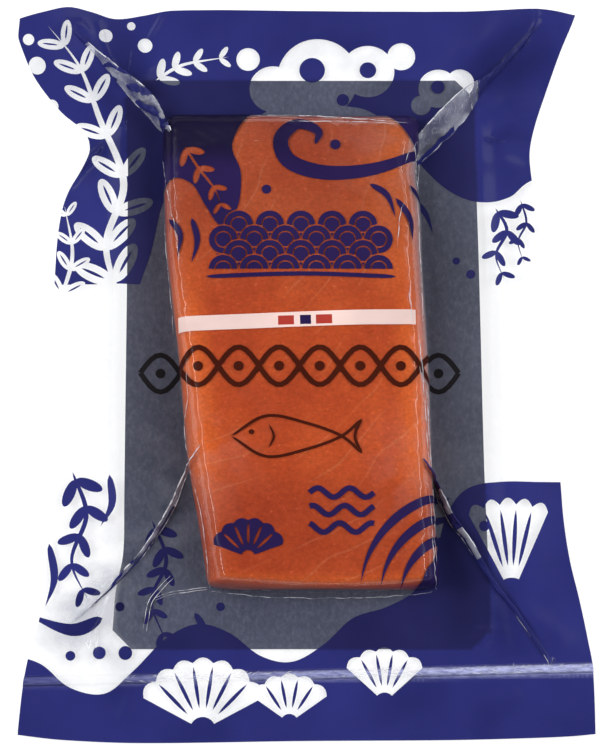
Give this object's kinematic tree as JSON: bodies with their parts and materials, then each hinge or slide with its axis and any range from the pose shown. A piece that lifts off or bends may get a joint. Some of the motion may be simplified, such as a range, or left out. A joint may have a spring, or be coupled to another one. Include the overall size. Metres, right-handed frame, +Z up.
{
  "type": "pack of smoked salmon",
  "caption": "Flat vacuum pack: a piece of smoked salmon on a slate-grey board, sealed in clear film with dark blue printed ends.",
  "frame": {"origin": "middle of the pouch in plan, on the surface that the pack lies on", "axes": "+Z up out of the printed face, +Y towards the top of the print, +X to its right"},
  "size_m": [0.2024, 0.2612, 0.0224],
  "materials": {
    "printed_film": "glossy dark blue printed film",
    "clear_film": "clear glossy barrier film",
    "light_print": "thin white ink under gloss film",
    "red_print": "red ink under gloss film",
    "dark_print": "near-black ink under gloss film",
    "smoked_salmon": "moist smoked fish, dark orange",
    "slate_board": "slate-grey mottled coated board"
  },
  "bodies": {
    "root": {"sealed_pack": "printed_film"}
  },
  "joints": []
}
